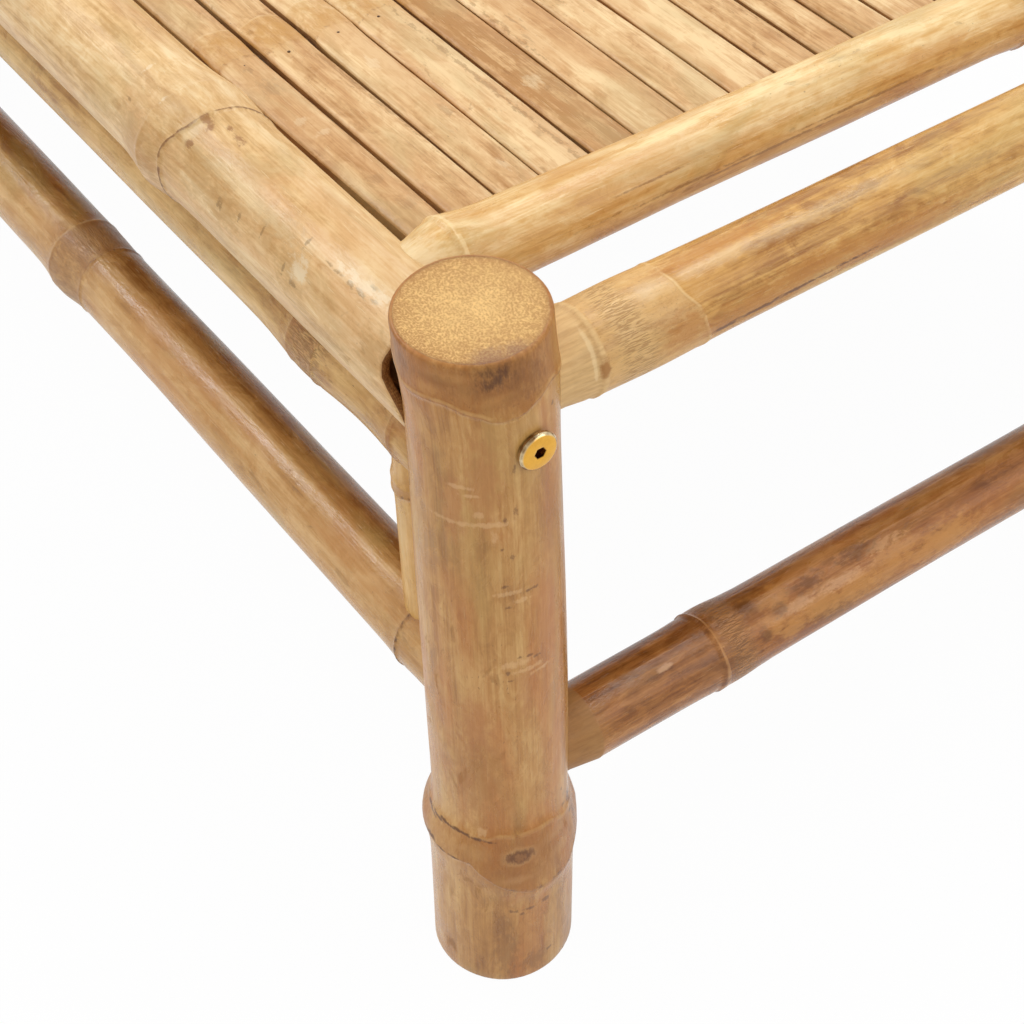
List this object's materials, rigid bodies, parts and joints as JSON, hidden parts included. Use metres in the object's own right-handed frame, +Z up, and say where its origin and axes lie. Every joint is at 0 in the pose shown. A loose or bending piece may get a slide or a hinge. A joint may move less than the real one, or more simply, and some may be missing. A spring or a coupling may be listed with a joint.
{
  "type": "sun lounger",
  "caption": "Low bamboo sun lounger: four leg posts, pole rails, a flat deck of split-bamboo slats and a hinged back that a prop frame holds up on notched racks.",
  "frame": {"origin": "on the floor, under the middle of the lounger", "axes": "+X to the foot end, +Y to the left side of a person lying on their back, +Z up"},
  "size_m": [2.007, 0.656, 0.382],
  "materials": {
    "leg_bamboo": "smooth bamboo skin, satin",
    "pole_bamboo": "varnished bamboo skin, satin",
    "dark_bamboo": "browned bamboo skin, semi-gloss",
    "slat_bamboo": "split bamboo, skin side up, satin",
    "hardwood": "planed, unfinished",
    "brass": "polished brass-plated steel"
  },
  "bodies": {
    "frame": {"leg_foot_right": "leg_bamboo", "leg_foot_left": "leg_bamboo", "leg_head_right": "leg_bamboo", "leg_head_left": "leg_bamboo", "corner_bolt_foot_right": "brass", "corner_bolt_foot_left": "brass", "corner_bolt_head_right": "brass", "corner_bolt_head_left": "brass", "end_rail_foot": "pole_bamboo", "end_rail_head": "pole_bamboo", "end_stretcher_foot": "dark_bamboo", "end_stretcher_head": "dark_bamboo", "side_rail_right": "pole_bamboo", "side_rail_left": "pole_bamboo", "sub_rail_right": "pole_bamboo", "sub_rail_left": "pole_bamboo", "side_stretcher_right": "pole_bamboo", "side_stretcher_left": "pole_bamboo", "spindle_foot_right": "pole_bamboo", "spindle_foot_left": "pole_bamboo", "spindle_head_right": "pole_bamboo", "spindle_head_left": "pole_bamboo", "hinge_bolt_right": "brass", "hinge_bolt_left": "brass", "seat_bearer_1": "pole_bamboo", "seat_bearer_2": "pole_bamboo", "seat_bearer_3": "pole_bamboo", "back_support_pole": "pole_bamboo", "rack_bearer": "pole_bamboo", "foot_cover_pole": "pole_bamboo", "rack_right": "hardwood", "rack_left": "hardwood", "seat_slat_01": "slat_bamboo", "seat_slat_02": "slat_bamboo", "seat_slat_03": "slat_bamboo", "seat_slat_04": "slat_bamboo", "seat_slat_05": "slat_bamboo", "seat_slat_06": "slat_bamboo", "seat_slat_07": "slat_bamboo", "seat_slat_08": "slat_bamboo", "seat_slat_09": "slat_bamboo", "seat_slat_10": "slat_bamboo", "seat_slat_11": "slat_bamboo", "seat_slat_12": "slat_bamboo", "seat_slat_13": "slat_bamboo", "seat_slat_14": "slat_bamboo", "seat_slat_15": "slat_bamboo", "seat_slat_16": "slat_bamboo", "seat_slat_17": "slat_bamboo", "seat_slat_18": "slat_bamboo", "seat_slat_19": "slat_bamboo", "seat_slat_20": "slat_bamboo"},
    "back": {"back_hinge_pole": "pole_bamboo", "back_stile_right": "pole_bamboo", "back_stile_left": "pole_bamboo", "back_slat_panel": "slat_bamboo", "back_cover_pole": "pole_bamboo"},
    "prop": {"prop_arm_right": "pole_bamboo", "prop_arm_left": "pole_bamboo", "prop_foot_bar": "pole_bamboo"}
  },
  "joints": [
    {"name": "back_recline", "type": "hinge", "parent": "frame", "child": "back", "pos_m": [-0.235, 0, 0.3012], "axis": [0, 1, 0], "range_deg": [0, 60]},
    {"name": "prop_swing", "type": "hinge", "parent": "back", "child": "prop", "pos_m": [-0.545, 0, 0.3012], "axis": [0, -1, 0], "range_deg": [0, 120]}
  ],
  "couplings": [
    {"joint": "prop_swing", "follows": "back_recline", "ratio": 2}
  ]
}
